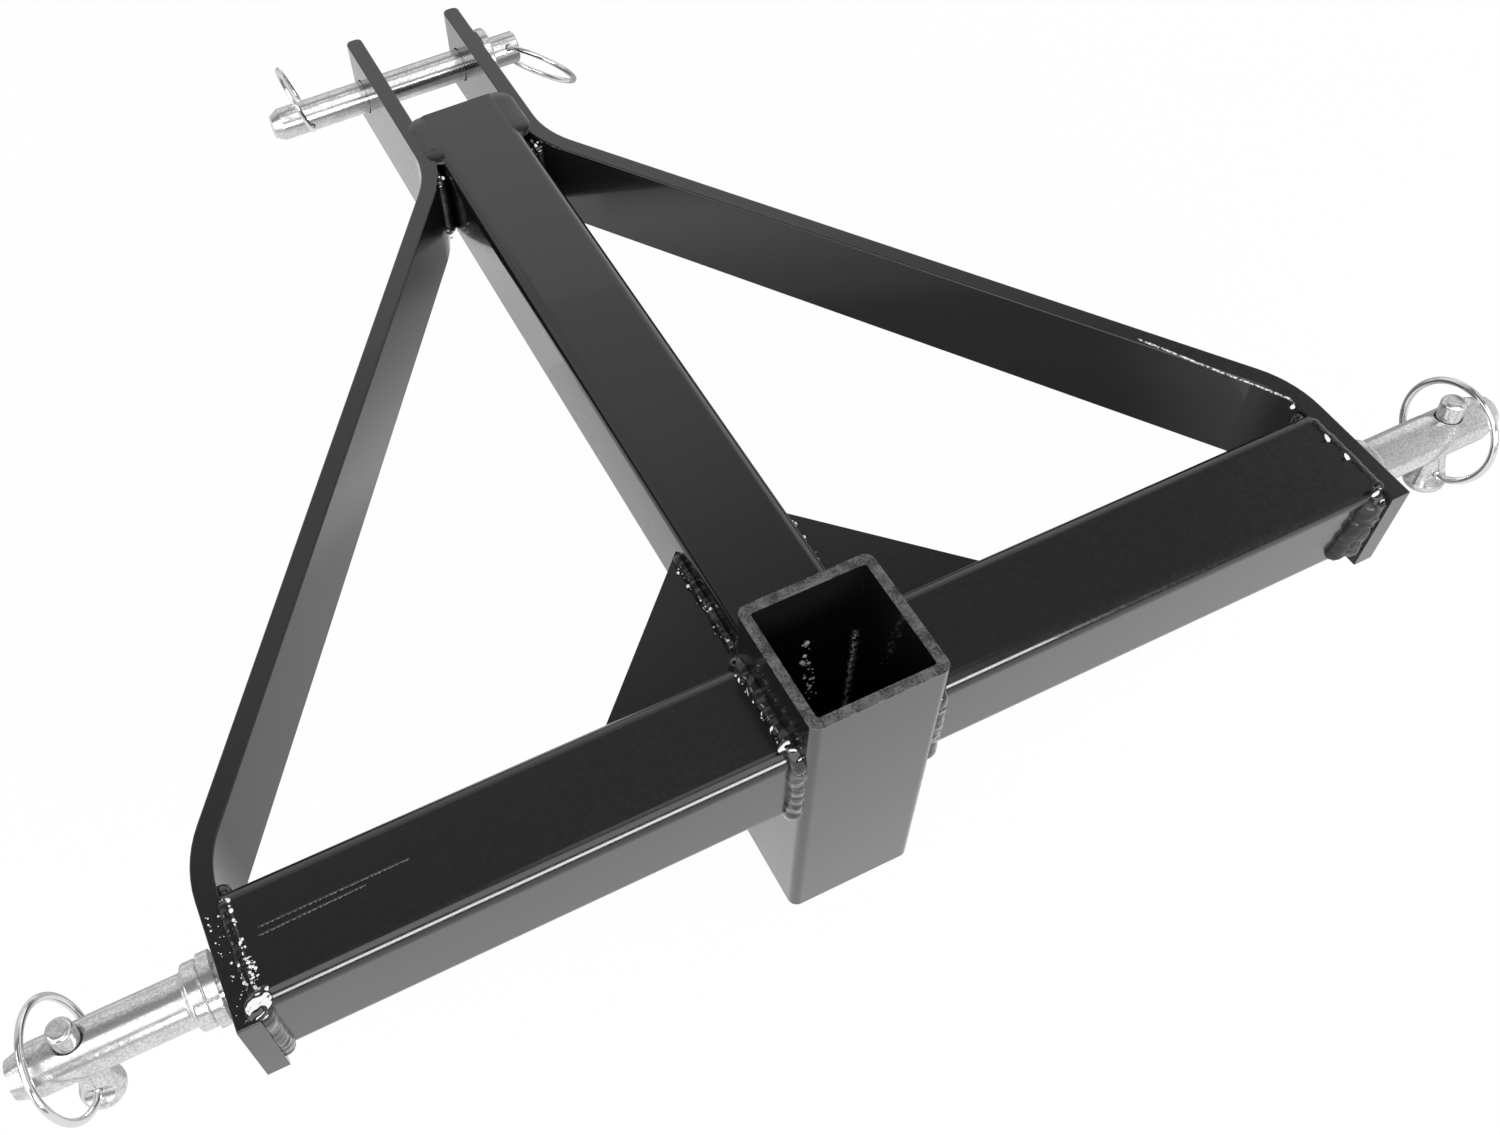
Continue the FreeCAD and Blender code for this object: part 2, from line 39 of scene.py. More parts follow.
number = "NodeSocketFloat"
integer = "NodeSocketInt"
geometry = "NodeSocketGeometry"
finishSocket = "NodeSocketMaterial"


# small helpers for node trees
def setSockets(tree, node, inputs):
    for key, value in inputs.items():
        socket = node.inputs[key]
        if hasattr(value, "is_output"):
            tree.links.new(value, socket)
        else:
            socket.default_value = value
    return node


def place(tree, kind, inputs=None, **settings):
    node = tree.nodes.new(kind)
    for key, value in settings.items():
        setattr(node, key, value)
    return setSockets(tree, node, inputs or {})


def maths(tree, operation, a, b=0.0, clamp=False):
    node = place(tree, "ShaderNodeMath", {0: a, 1: b}, operation=operation, use_clamp=clamp)
    return node.outputs[0]


def plus(tree, a, b):
    return maths(tree, "ADD", a, b)


def minus(tree, a, b):
    return maths(tree, "SUBTRACT", a, b)


def times(tree, a, b):
    return maths(tree, "MULTIPLY", a, b)


def larger(tree, a, b):
    return maths(tree, "MAXIMUM", a, b)


def spread(tree, value, low, high, toLow=0.0, toHigh=1.0, smooth=True):
    sockets = {"Value": value, "From Min": low, "From Max": high,
               "To Min": toLow, "To Max": toHigh}
    kind = "SMOOTHSTEP" if smooth else "LINEAR"
    return place(tree, "ShaderNodeMapRange", sockets, interpolation_type=kind).outputs[0]


def mixColour(tree, factor, a, b):
    node = tree.nodes.new("ShaderNodeMix")
    node.data_type = "RGBA"
    for index, value in ((0, factor), (6, a), (7, b)):
        if hasattr(value, "is_output"):
            tree.links.new(value, node.inputs[index])
        else:
            node.inputs[index].default_value = value if index == 0 else (*value[:3], 1.0)
    return node.outputs[2]


def newMaterial(name):
    mat = bpy.data.materials.new(name)
    mat.use_nodes = True
    tree = mat.node_tree
    tree.nodes.clear()
    out = tree.nodes.new("ShaderNodeOutputMaterial")
    return mat, tree, out


def newGroup(name, treeKind, inputs, outputs):
    group = bpy.data.node_groups.new(name, treeKind)
    for label, kind, value in inputs:
        socket = group.interface.new_socket(label, in_out="INPUT", socket_type=kind)
        if value is not None:
            socket.default_value = value
    for label, kind in outputs:
        group.interface.new_socket(label, in_out="OUTPUT", socket_type=kind)
    return group, group.nodes.new("NodeGroupInput"), group.nodes.new("NodeGroupOutput")


def useGroup(tree, group, inputs):
    node = tree.nodes.new("ShaderNodeGroup")
    node.node_tree = group
    return setSockets(tree, node, inputs).outputs


# camera
view = {
    "focalPixels": 1511.28, "imageWidth": 1500, "imageHeight": 1135, "centre": (580.70, 516.33),
    "sensorWidth": 36.0, "clipStart": 0.01,
    "place": (-0.19829, -0.26370, 0.68661),
    "right": (0.9064807, -0.4169597, -0.0666134),
    "down": (-0.3706036, -0.7100471, -0.5987370),
    "forward": (0.2023506, 0.5674307, -0.7981708),
}


def makeCamera():
    data = bpy.data.cameras.new("photoCamera")
    data.sensor_width = view["sensorWidth"]
    data.lens = view["focalPixels"] * view["sensorWidth"] / view["imageWidth"]
    data.shift_x = (view["imageWidth"] / 2 - view["centre"][0]) / view["imageWidth"]
    data.shift_y = (view["centre"][1] - view["imageHeight"] / 2) / view["imageWidth"]
    data.clip_start = view["clipStart"]
    camera = bpy.data.objects.new("photoCamera", data)
    columns = [Vector(view["right"]), -Vector(view["down"]), -Vector(view["forward"])]
    turn = Matrix([[column[row] for column in columns] for row in range(3)]).to_4x4()
    camera.matrix_world = Matrix.Translation(view["place"]) @ turn
    scene.collection.objects.link(camera)
    scene.camera = camera


# floor, sky and lamps
studioFloor = {"height": -0.003, "size": 9.0, "colour": (0.93, 0.93, 0.93), "ownLight": 0.97}
mirroredFloor = {
    # a pool of light that fades with the distance from the receiver
    "poolReach": (1.2, 4.0), "poolLevel": (0.90, 0.25),
    # a soft shade under the frame: its middle, then where it fades across and along
    "shadeMiddle": (0.11, 0.225), "shadeAcross": (0.08, 0.2), "shadeAlong": (0.17, 0.235),
    "shadeDepth": 0.6,
    # half the side of the spot under the receiver, where no light gets in
    "receiverSpot": 0.031,
    # deeper shade on the ground to the right and to the left of the mast
    "rightStart": -0.02, "rightAcross": (0.02, 0.05), "rightDepth": 0.55,
    "leftAlong": (0.03, 0.34), "leftAcross": (-0.05, -0.09), "leftDepth": 0.42,
}


def floorReflection(tree, look):
    coord = place(tree, "ShaderNodeTexCoord").outputs["Object"]
    axes = place(tree, "ShaderNodeSeparateXYZ", {0: coord}).outputs
    x, y = axes["X"], axes["Y"]
    across = maths(tree, "ABSOLUTE", minus(tree, x, look["shadeMiddle"][0]))
    along = maths(tree, "ABSOLUTE", minus(tree, y, look["shadeMiddle"][1]))
    inX = spread(tree, across, *look["shadeAcross"], 1.0, 0.0)
    inY = spread(tree, along, *look["shadeAlong"], 1.0, 0.0)
    shade = times(tree, times(tree, inX, inY), look["shadeDepth"])
    distance = place(tree, "ShaderNodeVectorMath", {0: coord}, operation="LENGTH").outputs["Value"]
    pool = spread(tree, distance, *look["poolReach"], *look["poolLevel"])
    level = times(tree, minus(tree, 1.0, shade), pool)
    nearest = larger(tree, maths(tree, "ABSOLUTE", x), maths(tree, "ABSOLUTE", y))
    under = maths(tree, "LESS_THAN", nearest, look["receiverSpot"])
    right = times(tree, maths(tree, "GREATER_THAN", y, look["rightStart"]),
                  spread(tree, x, *look["rightAcross"], 0.0, look["rightDepth"]))
    start, end = look["leftAlong"]
    beside = times(tree, maths(tree, "GREATER_THAN", y, start), maths(tree, "LESS_THAN", y, end))
    left = times(tree, beside, spread(tree, x, *look["leftAcross"], 0.0, look["leftDepth"]))
    dark = larger(tree, under, larger(tree, right, left))
    return times(tree, level, minus(tree, 1.0, dark))


def makeFloor():
    half = studioFloor["size"] / 2
    z = studioFloor["height"]
    corners = [(-half, -half, z), (half, -half, z), (half, half, z), (-half, half, z)]
    mesh = bpy.data.meshes.new("studioFloor")
    mesh.from_pydata(corners, [], [(0, 1, 2, 3)])
    floor = bpy.data.objects.new("studioFloor", mesh)
    scene.collection.objects.link(floor)
    mat, tree, out = newMaterial("paleFloor")
    diffuse = place(tree, "ShaderNodeBsdfDiffuse", {"Color": (*studioFloor["colour"], 1.0)})
    light = place(tree, "ShaderNodeLightPath").outputs
    byCamera = light["Is Camera Ray"]
    seen = larger(tree, byCamera, light["Is Transmission Ray"])
    seen = larger(tree, seen, light["Is Glossy Ray"])
    # the camera sees plain white, and reflections see the pool and its shade
    mirrored = times(tree, minus(tree, 1.0, byCamera), floorReflection(tree, mirroredFloor))
    level = plus(tree, byCamera, mirrored)
    glow = place(tree, "ShaderNodeEmission", {"Color": (1.0, 1.0, 1.0, 1.0), "Strength": level})
    share = times(tree, seen, studioFloor["ownLight"])
    mix = place(tree, "ShaderNodeMixShader",
                {0: share, 1: diffuse.outputs[0], 2: glow.outputs[0]})
    tree.links.new(mix.outputs[0], out.inputs[0])
    mesh.materials.append(mat)


# levels, and the directions between which each one rises or falls
sky = {
    "top": 0.20, "back": 0.60, "backEdge": (0.42, 0.62), "farBack": 0.02, "farEdge": (0.62, 0.85),
    # a long softbox overhead, a little to the front
    "softbox": 1.7, "softboxNear": (-0.10, -0.17), "softboxFar": (-0.74, -0.66),
    "softboxSide": (0.26, 0.42),
    # a pale wall far to the right
    "wall": 0.6, "wallEdge": (0.60, 0.65),
    # a fill above that only the top link pin mirrors
    "fill": 0.9, "fillAcross": ((0.05, 0.12), (0.32, 0.4)),
    "fillAlong": ((-0.05, 0.05), (0.28, 0.36)),
}


def band(tree, value, edges):
    rise, fall = edges
    return times(tree, spread(tree, value, *rise, 0.0, 1.0), spread(tree, value, *fall, 1.0, 0.0))


def makeSky():
    world = bpy.data.worlds.new("studioSky")
    scene.world = world
    world.use_nodes = True
    tree = world.node_tree
    tree.nodes.clear()
    out = tree.nodes.new("ShaderNodeOutputWorld")
    direction = place(tree, "ShaderNodeTexCoord").outputs["Generated"]
    parts = place(tree, "ShaderNodeSeparateXYZ", {0: direction}).outputs
    across, depth = parts["X"], parts["Y"]
    level = spread(tree, depth, *sky["backEdge"], sky["top"], sky["back"])
    level = plus(tree, level, spread(tree, depth, *sky["farEdge"], 0.0, sky["farBack"]))
    near = spread(tree, depth, *sky["softboxNear"], 0.0, sky["softbox"])
    far = spread(tree, depth, *sky["softboxFar"], 0.0, 1.0)
    side = spread(tree, across, *sky["softboxSide"], 1.0, 0.0)
    level = plus(tree, level, times(tree, side, times(tree, near, far)))
    level = plus(tree, level, spread(tree, across, *sky["wallEdge"], 0.0, sky["wall"]))
    inside = times(tree, band(tree, across, sky["fillAcross"]), band(tree, depth, sky["fillAlong"]))
    level = plus(tree, level, times(tree, inside, sky["fill"]))
    light = place(tree, "ShaderNodeLightPath").outputs
    # the camera sees plain white
    seen = place(tree, "ShaderNodeMix", {0: light["Is Camera Ray"], 2: level, 3: 1.0}).outputs[0]
    glow = place(tree, "ShaderNodeBackground", {"Color": (1.0, 1.0, 1.0, 1.0), "Strength": seen})
    tree.links.new(glow.outputs[0], out.inputs[0])


lamps = {
    # place, looks at, width, height, watts
    "backPanel": ((0.25, 2.0, 1.05), (0.0, 0.2, 0.1), 2.6, 1.3, 2.5),
    "frontStrip": ((0.17, -1.45, 0.68), (0.0, 0.0, 0.1), 1.26, 0.46, 23.0),
    "sidePanel": ((-1.7, 0.2, 0.9), (0.0, 0.2, 0.1), 0.8, 0.8, 4.0),
}


def makeLamps():
    for name, (spot, target, width, height, watts) in lamps.items():
        data = bpy.data.lights.new(name, "AREA")
        data.shape = "RECTANGLE"
        data.size = width
        data.size_y = height
        data.energy = watts
        lamp = bpy.data.objects.new(name, data)
        lamp.location = spot
        aim = Vector(target) - Vector(spot)
        lamp.rotation_euler = aim.to_track_quat("-Z", "Y").to_euler()
        scene.collection.objects.link(lamp)


scene.view_settings.view_transform = "Standard"
makeCamera()
makeFloor()
makeSky()
makeLamps()
print("stage set")


# finishes
powderCoat = {
    "colour": (0.007, 0.007, 0.0073), "roughness": 0.2, "roughnessSwing": 0.03,
    "peelScale": 420.0, "peelHeight": 0.000005, "coat": 0.6, "coatRoughness": 0.05,
}
weldCoat = {
    "colour": (0.003, 0.003, 0.003), "roughness": 0.13, "roughnessSwing": 0.03,
    "peelScale": 900.0, "peelHeight": 0.00002, "coat": 0.9, "coatRoughness": 0.03,
}
dullWeld = {"colour": (0.004, 0.004, 0.004), "roughness": 0.5, "coat": 0.25}
sawnRim = {
    "height": 0.1695, "fade": 0.0003, "colour": (0.13, 0.132, 0.133), "dark": (0.016, 0.016, 0.016),
    "scale": 900.0, "patchScale": 170.0, "patchShare": 0.45, "detail": 4.0, "rougher": 0.2,
}
# dark with pale noise patches: the pale colour is a painted highlight on spatter, runs and seams
paintedHighlightLook = {
    "pale": (0.86, 0.86, 0.85), "dark": (0.012, 0.012, 0.012), "scale": 800.0,
    "patchScale": 300.0, "patchShare": 0.3, "roughness": 0.16, "roughnessSwing": 0.1,
}
zincPlate = {
    "colour": (0.77, 0.78, 0.77), "dull": (0.55, 0.555, 0.555), "metal": 0.88,
    "roughness": 0.17, "roughnessSwing": 0.1, "mottleScale": 900.0, "mottleHeight": 0.00003,
    "waveScale": 130.0, "waveShare": 0.25, "detail": 4.0,
    "nickScale": 420.0, "nickAmount": 0.8, "nickDepth": 0.8, "nickColour": (0.92, 0.92, 0.92),
}
brightWire = {
    "colour": (0.80, 0.81, 0.81), "roughness": 0.12, "roughnessSwing": 0.08,
    "grainScale": 900.0, "patchScale": 120.0, "patchShare": 0.5,
}
grainShape = {"fineRoughness": 0.55, "coarseRoughness": 0.5, "coarseDetail": 2.0,
              "maskEdge": (0.38, 0.62)}
nickShape = {"warpScale": 160.0, "warpReach": 0.004, "stretch": (0.25, 1.0, 1.0),
             "patchScale": 60.0, "markEdge": (0.66, 0.72), "patchEdge": (0.45, 0.6)}


def makeGrainGroup():
    # fine and coarse unevenness of a metal or painted surface, as a height and a mask
    group, start, end = newGroup(
        "surfaceGrain", "ShaderNodeTree",
        [("Fine Scale", number, 400.0), ("Coarse Scale", number, 40.0),
         ("Coarse Share", number, 0.5), ("Detail", number, 2.0)],
        [("Height", number), ("Mask", number)])
    give = start.outputs
    coord = place(group, "ShaderNodeTexCoord").outputs["Object"]
    fine = place(group, "ShaderNodeTexNoise",
                 {"Vector": coord, "Scale": give["Fine Scale"], "Detail": give["Detail"],
                  "Roughness": grainShape["fineRoughness"]})
    coarse = place(group, "ShaderNodeTexNoise",
                   {"Vector": coord, "Scale": give["Coarse Scale"],
                    "Detail": grainShape["coarseDetail"],
                    "Roughness": grainShape["coarseRoughness"]})
    share = times(group, coarse.outputs[0], give["Coarse Share"])
    rest = times(group, fine.outputs[0], minus(group, 1.0, give["Coarse Share"]))
    both = plus(group, share, rest)
    group.links.new(both, end.inputs["Height"])
    group.links.new(spread(group, both, *grainShape["maskEdge"]), end.inputs["Mask"])
    return group


def makeNickGroup():
    # small bright nicks and scratches, as a mask
    group, start, end = newGroup("handlingNicks", "ShaderNodeTree",
                                 [("Scale", number, 300.0), ("Amount", number, 0.5)],
                                 [("Mask", number)])
    give = start.outputs
    coord = place(group, "ShaderNodeTexCoord").outputs["Object"]
    warp = place(group, "ShaderNodeTexNoise",
                 {"Vector": coord, "Scale": nickShape["warpScale"], "Detail": 2.0})
    reach = (nickShape["warpReach"],) * 3
    lean = place(group, "ShaderNodeVectorMath", {0: warp.outputs["Color"], 1: reach},
                 operation="MULTIPLY").outputs[0]
    bent = place(group, "ShaderNodeVectorMath", {0: coord, 1: lean}, operation="ADD").outputs[0]
    long = place(group, "ShaderNodeVectorMath", {0: bent, 1: nickShape["stretch"]},
                 operation="MULTIPLY").outputs[0]
    fleck = place(group, "ShaderNodeTexNoise",
                  {"Vector": long, "Scale": give["Scale"], "Detail": 1.0})
    patchy = place(group, "ShaderNodeTexNoise",
                   {"Vector": coord, "Scale": nickShape["patchScale"], "Detail": 1.0})
    mark = spread(group, fleck.outputs[0], *nickShape["markEdge"])
    where = spread(group, patchy.outputs[0], *nickShape["patchEdge"])
    mask = times(group, times(group, mark, where), give["Amount"])
    group.links.new(mask, end.inputs["Mask"])
    return group


grainGroup = makeGrainGroup()
nickGroup = makeNickGroup()


def grainOn(tree, fine, coarse, share, detail=2.0):
    return useGroup(tree, grainGroup, {"Fine Scale": fine, "Coarse Scale": coarse,
                                       "Coarse Share": share, "Detail": detail})


def shadeWith(tree, out, inputs):
    shader = place(tree, "ShaderNodeBsdfPrincipled", inputs)
    tree.links.new(shader.outputs[0], out.inputs[0])


def makePowderCoat(name, look, rim=None):
    mat, tree, out = newMaterial(name)
    grain = grainOn(tree, look["peelScale"], 38.0, 0.0)
    bump = place(tree, "ShaderNodeBump", {"Height": grain["Height"], "Strength": 1.0,
                                          "Distance": look["peelHeight"]})
    rough = spread(tree, grain["Mask"], 0.0, 1.0, look["roughness"] - look["roughnessSwing"],
                   look["roughness"] + look["roughnessSwing"])
    colour = (*look["colour"], 1.0)
    if rim:
        # the saw-cut end takes the paint thinly
        coord = place(tree, "ShaderNodeTexCoord").outputs["Object"]
        height = place(tree, "ShaderNodeSeparateXYZ", {0: coord}).outputs["Z"]
        onRim = spread(tree, height, rim["height"], rim["height"] + rim["fade"])
        speck = grainOn(tree, rim["scale"], rim["patchScale"], rim["patchShare"], rim["detail"])
        thin = mixColour(tree, speck["Mask"], rim["dark"], rim["colour"])
        colour = mixColour(tree, onRim, look["colour"], thin)
        rough = plus(tree, rough, times(tree, onRim, rim["rougher"]))
    shadeWith(tree, out, {"Base Color": colour, "Roughness": rough, "Normal": bump.outputs[0],
                          "Coat Weight": look["coat"], "Coat Roughness": look["coatRoughness"]})
    return mat


def makeZinc(name, look):
    mat, tree, out = newMaterial(name)
    grain = grainOn(tree, look["mottleScale"], look["waveScale"], look["waveShare"], look["detail"])
    nicks = useGroup(tree, nickGroup, {"Scale": look["nickScale"], "Amount": look["nickAmount"]})
    dent = times(tree, nicks["Mask"], -look["nickDepth"])
    bump = place(tree, "ShaderNodeBump", {"Height": plus(tree, grain["Height"], dent),
                                          "Distance": look["mottleHeight"], "Strength": 1.0})
    colour = mixColour(tree, grain["Mask"], look["dull"], look["colour"])
    colour = mixColour(tree, nicks["Mask"], colour, look["nickColour"])
    rough = spread(tree, grain["Mask"], 0.0, 1.0, look["roughness"] + look["roughnessSwing"],
                   look["roughness"])
    shadeWith(tree, out, {"Base Color": colour, "Roughness": rough, "Metallic": look["metal"],
                          "Normal": bump.outputs[0]})
    return mat


def makeWire(name, look):
    mat, tree, out = newMaterial(name)
    grain = grainOn(tree, look["grainScale"], look["patchScale"], look["patchShare"])
    rough = spread(tree, grain["Mask"], 0.0, 1.0, look["roughness"],
                   look["roughness"] + look["roughnessSwing"])
    shadeWith(tree, out, {"Base Color": (*look["colour"], 1.0), "Metallic": 1.0,
                          "Roughness": rough})
    return mat


def makePaintedHighlight(name, look):
    # spatter and runs: dark metal with pale patches mixed in, and the pale patches are painted
    # highlights
    mat, tree, out = newMaterial(name)
    grain = grainOn(tree, look["scale"], look["patchScale"], look["patchShare"])
    colour = mixColour(tree, grain["Mask"], look["dark"], look["pale"])
    rough = spread(tree, grain["Mask"], 0.0, 1.0, look["roughness"],
                   look["roughness"] + look["roughnessSwing"])
    shadeWith(tree, out, {"Base Color": colour, "Roughness": rough})
    return mat


blackPaint = makePowderCoat("glossBlackPowderCoat", powderCoat)
paintedHighlightFinish = makePaintedHighlight("spatterPaintedHighlight", paintedHighlightLook)
receiverPaint = makePowderCoat("receiverPowderCoat", powderCoat, sawnRim)
weldPaint = makePowderCoat("paintedWeld", weldCoat)
dullWeldPaint = makePowderCoat("dullPaintedWeld", {**weldCoat, **dullWeld})
zinc = makeZinc("zincPlatedSteel", zincPlate)
wire = makeWire("brightSpringWire", brightWire)

for name, node in nodes.items():
    finish = blackPaint
    if "ring" in name:
        finish = wire
    elif "pin" in name or "washer" in name or "nut" in name:
        finish = zinc
    elif "weld" in name:
        finish = weldPaint
    elif name == "receiver_tube":
        finish = receiverPaint
    node.data.materials.clear()
    node.data.materials.append(finish)
print("finishes set")


# geometry trees for welds and spatter
beadShape = {"wanderScale": 90.0, "wanderTurns": 2.0, "crestLevel": 0.35, "thinnest": 0.08,
             "sides": 16, "lumpDetail": 3.0, "lumpGain": 4.0}
dropShape = {"sizePower": 3.0, "subdivisions": 2}


def finishTree(group, start, end, shape):
    smooth = place(group, "GeometryNodeSetShadeSmooth", {"Geometry": shape})
    real = place(group, "GeometryNodeRealizeInstances", {"Geometry": smooth.outputs[0]})
    painted = place(group, "GeometryNodeSetMaterial", {"Geometry": real.outputs[0],
                                                       "Material": start.outputs["Finish"]})
    group.links.new(painted.outputs[0], end.inputs["Geometry"])


def makeBeadTree():
    # a weld bead along a path: rippled, lumpy, tapered where its ends are open
    group, start, end = newGroup("weldBead", "GeometryNodeTree", [
        ("Geometry", geometry, None), ("Bead Radius", number, 0.004), ("Flatness", number, 1.0),
        ("Ripple Pitch", number, 0.004), ("Ripple Depth", number, 0.08),
        ("Lump Size", number, 0.005), ("Lump Height", number, 0.0006),
        ("Open Ends", number, 1.0), ("Step", number, 0.0006), ("Seed", number, 1.0),
        ("Finish", finishSocket, None)], [("Geometry", geometry)])
    give = start.outputs
    curve = place(group, "GeometryNodeMeshToCurve", {"Mesh": give["Geometry"]})
    fine = place(group, "GeometryNodeResampleCurve",
                 {"Curve": curve.outputs[0], "Length": give["Step"]}, mode="LENGTH")
    upright = place(group, "GeometryNodeSetCurveNormal", {"Curve": fine.outputs[0]}, mode="Z_UP")
    along = place(group, "GeometryNodeSplineParameter").outputs["Length"]
    whole = place(group, "GeometryNodeSplineLength").outputs["Length"]
    spot = place(group, "GeometryNodeInputPosition").outputs[0]
    # ripples whose pitch wanders, each with a steep front
    wander = place(group, "ShaderNodeTexNoise",
                   {"Vector": spot, "W": give["Seed"], "Scale": beadShape["wanderScale"],
                    "Detail": 1.0}, noise_dimensions="4D")
    turns = maths(group, "DIVIDE", along, give["Ripple Pitch"])
    turns = plus(group, turns, times(group, wander.outputs[0], beadShape["wanderTurns"]))
    step = maths(group, "FRACT", turns)
    crest = minus(group, times(group, step, step), beadShape["crestLevel"])
    swell = plus(group, 1.0, times(group, crest, give["Ripple Depth"]))
    # round off the open ends
    left = maths(group, "MINIMUM", along, minus(group, whole, along))
    taper = maths(group, "DIVIDE", left, give["Bead Radius"], clamp=True)
    taper = maths(group, "SQRT", times(group, taper, minus(group, 2.0, taper)), 0.0)
    taper = larger(group, taper, minus(group, 1.0, give["Open Ends"]))
    taper = larger(group, taper, beadShape["thinnest"])
    swell = times(group, swell, taper)
    ring = place(group, "GeometryNodeCurvePrimitiveCircle",
                 {"Resolution": beadShape["sides"], "Radius": give["Bead Radius"]})
    squash = place(group, "ShaderNodeCombineXYZ", {"X": 1.0, "Y": give["Flatness"], "Z": 1.0})
    ring = place(group, "GeometryNodeTransform",
                 {"Geometry": ring.outputs[0], "Scale": squash.outputs[0]})
    tube = place(group, "GeometryNodeCurveToMesh",
                 {"Curve": upright.outputs[0], "Profile Curve": ring.outputs[0],
                  "Scale": swell, "Fill Caps": True})
    # lumps push the skin in and out
    lump = place(group, "ShaderNodeTexNoise",
                 {"Vector": spot, "W": give["Seed"], "Detail": beadShape["lumpDetail"],
                  "Scale": maths(group, "DIVIDE", 1.0, give["Lump Size"])}, noise_dimensions="4D")
    rise = times(group, minus(group, lump.outputs[0], 0.5),
                 times(group, give["Lump Height"], beadShape["lumpGain"]))
    outward = place(group, "GeometryNodeInputNormal").outputs[0]
    push = place(group, "ShaderNodeVectorMath", {0: outward, "Scale": rise},
                 operation="SCALE").outputs[0]
    lumpy = place(group, "GeometryNodeSetPosition", {"Geometry": tube.outputs[0], "Offset": push})
    finishTree(group, start, end, lumpy.outputs[0])
    return group


def makeSpatterTree():
    # small beads of metal scattered over a patch
    group, start, end = newGroup("weldSpatter", "GeometryNodeTree", [
        ("Geometry", geometry, None), ("Density", number, 100000.0),
        ("Smallest", number, 0.0003), ("Largest", number, 0.0009),
        ("Height Share", number, 0.7), ("Seed", integer, 1), ("Finish", finishSocket, None)],
        [("Geometry", geometry)])
    give = start.outputs
    points = place(group, "GeometryNodeDistributePointsOnFaces",
                   {"Mesh": give["Geometry"], "Density": give["Density"], "Seed": give["Seed"]})
    chance = place(group, "FunctionNodeRandomValue", {"Seed": give["Seed"]},
                   data_type="FLOAT").outputs[1]
    size = spread(group, maths(group, "POWER", chance, dropShape["sizePower"]), 0.0, 1.0,
                  give["Smallest"], give["Largest"], smooth=False)
    scale = place(group, "ShaderNodeCombineXYZ",
                  {"X": size, "Y": size, "Z": times(group, size, give["Height Share"])})
    drop = place(group, "GeometryNodeMeshIcoSphere",
                 {"Radius": 1.0, "Subdivisions": dropShape["subdivisions"]})
    drops = place(group, "GeometryNodeInstanceOnPoints", {
        "Points": points.outputs["Points"], "Instance": drop.outputs[0],
        "Rotation": points.outputs["Rotation"], "Scale": scale.outputs[0]})
    finishTree(group, start, end, drops.outputs[0])
    return group


beadTree = makeBeadTree()
spatterTree = makeSpatterTree()


def grow(name, points, edges, faces, group, values):
    guide = bpy.data.meshes.new(name + "Guide")
    guide.from_pydata([Vector(point) for point in points], edges, faces)
    piece = bpy.data.objects.new(name, guide)
    scene.collection.objects.link(piece)
    modifier = piece.modifiers.new("grow", "NODES")
    modifier.node_group = group
    for socket in group.interface.items_tree:
        if socket.in_out == "INPUT" and socket.name in values:
            modifier[socket.identifier] = values[socket.name]
    shape = piece.evaluated_get(bpy.context.evaluated_depsgraph_get())
    piece.data = bpy.data.meshes.new_from_object(shape)
    piece.modifiers.clear()
    return piece


def bead(name, path, values, closed=False):
    edges = [(i, i + 1) for i in range(len(path) - 1)]
    if closed:
        edges.append((len(path) - 1, 0))
    openEnds = 0.0 if closed else 1.0
    settings = {"Finish": weldPaint, "Open Ends": openEnds, **values}
    return grow(name, path, edges, [], beadTree, settings)


def spatter(corners, density, sizes, seed, heightShare=0.7):
    smallest, largest = sizes
    # the drops take the dark finish with pale patches, and those pale patches are painted
    # highlights
    values = {"Density": density, "Smallest": smallest, "Largest": largest, "Seed": seed,
              "Height Share": heightShare, "Finish": paintedHighlightFinish}
    return grow("spatter", corners, [], [(0, 1, 2, 3)], spatterTree, values)


poolShape = {"flattening": 0.93, "subdivisions": 4}


def pools(facing, spots, lumpHeight=0.00007, lumpScale=420.0):
    # smooth flattened pools of weld metal: centre, long axis, radii along, across and through
    gather = bmesh.new()
    up = Vector(facing).normalized()
    for centre, length, radii in spots:
        along = Vector(length)
        along = (along - up * along.dot(up)).normalized()
        turn = Matrix((along, up.cross(along), up)).transposed().to_4x4()
        shape = Matrix.Translation(centre) @ turn @ Matrix.Diagonal((*radii, 1.0))
        made = bmesh.ops.create_icosphere(gather, subdivisions=poolShape["subdivisions"],
                                          radius=1.0, matrix=shape)
        middle = Vector(centre)
        for vert in made["verts"]:
            rise = (vert.co - middle).dot(up)
            if rise > 0.0:
                vert.co -= up * rise * poolShape["flattening"]
            vert.co += up * (noise.noise(vert.co * lumpScale) * lumpHeight)
    for face in gather.faces:
        face.smooth = True
    mesh = bpy.data.meshes.new("pools")
    gather.to_mesh(mesh)
    gather.free()
    mesh.materials.append(weldPaint)
    piece = bpy.data.objects.new("pools", mesh)
    scene.collection.objects.link(piece)
    return piece


def joinPieces(name, pieces):
    gather = bmesh.new()
    finishes = []
    for piece in pieces:
        finish = piece.data.materials[0]
        if finish not in finishes:
            finishes.append(finish)
        before = len(gather.faces)
        gather.from_mesh(piece.data)
        gather.faces.ensure_lookup_table()
        for face in gather.faces[before:]:
            face.material_index = finishes.index(finish)
    mesh = bpy.data.meshes.new(name)
    gather.to_mesh(mesh)
    gather.free()
    for finish in finishes:
        mesh.materials.append(finish)
    for piece in pieces:
        bpy.data.objects.remove(piece)
    whole = bpy.data.objects.new(name, mesh)
    scene.collection.objects.link(whole)
    return whole


